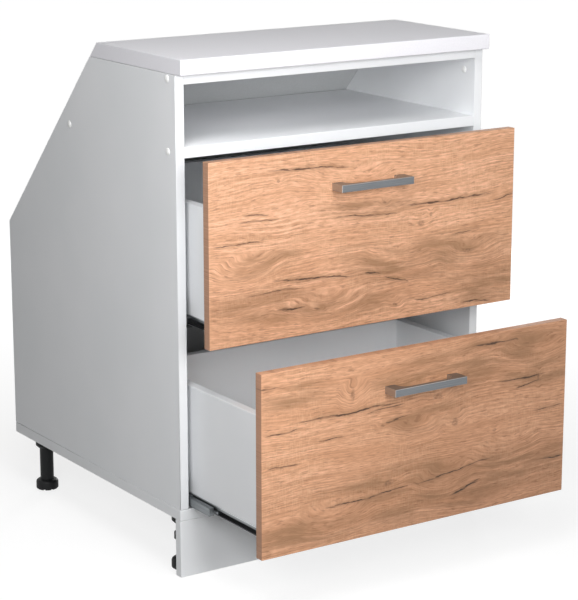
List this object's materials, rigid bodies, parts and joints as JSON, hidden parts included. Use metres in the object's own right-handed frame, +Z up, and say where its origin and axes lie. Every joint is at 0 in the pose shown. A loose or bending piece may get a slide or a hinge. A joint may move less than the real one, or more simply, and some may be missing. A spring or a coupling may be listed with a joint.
{
  "type": "sloped ceiling kitchen cabinet",
  "caption": "Low kitchen base cabinet raked at the back to stand under a sloped ceiling, with an open niche under the worktop and oak-fronted drawers on telescopic runners.",
  "frame": {"origin": "on the floor, in the middle of the cabinet's width, at the front edges of the side panels", "axes": "+X to the right seen from the front, +Y from the front towards the wall, +Z up"},
  "size_m": [0.602, 0.8478, 0.84],
  "materials": {
    "white_melamine": "white melamine-faced chipboard, fine satin texture",
    "worktop_laminate": "white laminate, satin",
    "white_hardboard": "white lacquered hardboard",
    "oak_decor": "oak decor with horizontal grain, matt",
    "brushed_handle": "brushed, satin",
    "black_plastic": "moulded, matt",
    "white_plastic": "moulded, smooth",
    "zinc_runner_steel": "zinc plated sheet steel",
    "dark_runner_steel": "black powder coat",
    "zinc_fastener": "zinc plated",
    "clear_bumper": "soft, translucent"
  },
  "bodies": {
    "carcass": {"left_side_panel": "white_melamine", "right_side_panel": "white_melamine", "bottom_panel": "white_melamine", "niche_shelf": "white_melamine", "top_front_rail": "white_melamine", "worktop": "worktop_laminate", "sloped_back_panel": "white_hardboard", "lower_back_panel": "white_hardboard", "back_panel_nails": "zinc_fastener", "panel_screws": "zinc_fastener", "bottom_screws": "zinc_fastener", "cover_caps": "white_plastic", "worktop_screws": "zinc_fastener", "worktop_brackets": "zinc_fastener", "bracket_screws": "zinc_fastener", "plinth_panel": "white_melamine", "plinth_clips": "black_plastic", "leg_sockets": "black_plastic", "leg_socket_screws": "zinc_fastener", "leg_tubes": "black_plastic", "cabinet_rail_screws": "zinc_fastener", "upper_left_cabinet_rail": "zinc_runner_steel", "upper_right_cabinet_rail": "zinc_runner_steel", "lower_left_cabinet_rail": "zinc_runner_steel", "lower_right_cabinet_rail": "zinc_runner_steel"},
    "upper_drawer": {"upper_drawer_front": "oak_decor", "upper_drawer_left_side": "white_melamine", "upper_drawer_right_side": "white_melamine", "upper_drawer_back": "white_melamine", "upper_drawer_bottom": "white_hardboard", "upper_handle": "brushed_handle", "upper_handle_screws": "zinc_fastener", "upper_front_bumpers": "clear_bumper", "upper_front_cam_fittings": "zinc_fastener", "upper_drawer_back_screws": "zinc_fastener", "upper_drawer_rail_screws": "zinc_fastener", "upper_left_drawer_rail": "dark_runner_steel", "upper_right_drawer_rail": "dark_runner_steel"},
    "lower_drawer": {"lower_drawer_front": "oak_decor", "lower_drawer_left_side": "white_melamine", "lower_drawer_right_side": "white_melamine", "lower_drawer_back": "white_melamine", "lower_drawer_bottom": "white_hardboard", "lower_handle": "brushed_handle", "lower_handle_screws": "zinc_fastener", "lower_front_bumpers": "clear_bumper", "lower_front_cam_fittings": "zinc_fastener", "lower_drawer_back_screws": "zinc_fastener", "lower_drawer_rail_screws": "zinc_fastener", "lower_left_drawer_rail": "dark_runner_steel", "lower_right_drawer_rail": "dark_runner_steel"},
    "upper_left_middle_rail": {"upper_left_middle_rail": "zinc_runner_steel"},
    "upper_right_middle_rail": {"upper_right_middle_rail": "zinc_runner_steel"},
    "lower_left_middle_rail": {"lower_left_middle_rail": "zinc_runner_steel"},
    "lower_right_middle_rail": {"lower_right_middle_rail": "zinc_runner_steel"},
    "foot_front_left": {"foot_front_left": "black_plastic"},
    "foot_front_right": {"foot_front_right": "black_plastic"},
    "foot_rear_left": {"foot_rear_left": "black_plastic"},
    "foot_rear_right": {"foot_rear_right": "black_plastic"}
  },
  "joints": [
    {"name": "upper_drawer_slide", "type": "slide", "parent": "carcass", "child": "upper_drawer", "axis": [0, -1, 0], "range_m": [-0.0733, 0.325]},
    {"name": "lower_drawer_slide", "type": "slide", "parent": "carcass", "child": "lower_drawer", "axis": [0, -1, 0], "range_m": [-0.2183, 0.18]},
    {"name": "upper_left_middle_rail_slide", "type": "slide", "parent": "carcass", "child": "upper_left_middle_rail", "axis": [0, -1, 0], "range_m": [-0.037, 0.163]},
    {"name": "upper_right_middle_rail_slide", "type": "slide", "parent": "carcass", "child": "upper_right_middle_rail", "axis": [0, -1, 0], "range_m": [-0.037, 0.163]},
    {"name": "lower_left_middle_rail_slide", "type": "slide", "parent": "carcass", "child": "lower_left_middle_rail", "axis": [0, -1, 0], "range_m": [-0.1095, 0.0905]},
    {"name": "lower_right_middle_rail_slide", "type": "slide", "parent": "carcass", "child": "lower_right_middle_rail", "axis": [0, -1, 0], "range_m": [-0.1095, 0.0905]},
    {"name": "foot_front_left_height", "type": "slide", "parent": "carcass", "child": "foot_front_left", "axis": [0, 0, -1], "range_m": [0, 0.02]},
    {"name": "foot_front_right_height", "type": "slide", "parent": "carcass", "child": "foot_front_right", "axis": [0, 0, -1], "range_m": [0, 0.02]},
    {"name": "foot_rear_left_height", "type": "slide", "parent": "carcass", "child": "foot_rear_left", "axis": [0, 0, -1], "range_m": [0, 0.02]},
    {"name": "foot_rear_right_height", "type": "slide", "parent": "carcass", "child": "foot_rear_right", "axis": [0, 0, -1], "range_m": [0, 0.02]}
  ],
  "couplings": [
    {"joint": "upper_left_middle_rail_slide", "follows": "upper_drawer_slide", "ratio": 0.5},
    {"joint": "upper_right_middle_rail_slide", "follows": "upper_drawer_slide", "ratio": 0.5},
    {"joint": "lower_left_middle_rail_slide", "follows": "lower_drawer_slide", "ratio": 0.5},
    {"joint": "lower_right_middle_rail_slide", "follows": "lower_drawer_slide", "ratio": 0.5}
  ]
}
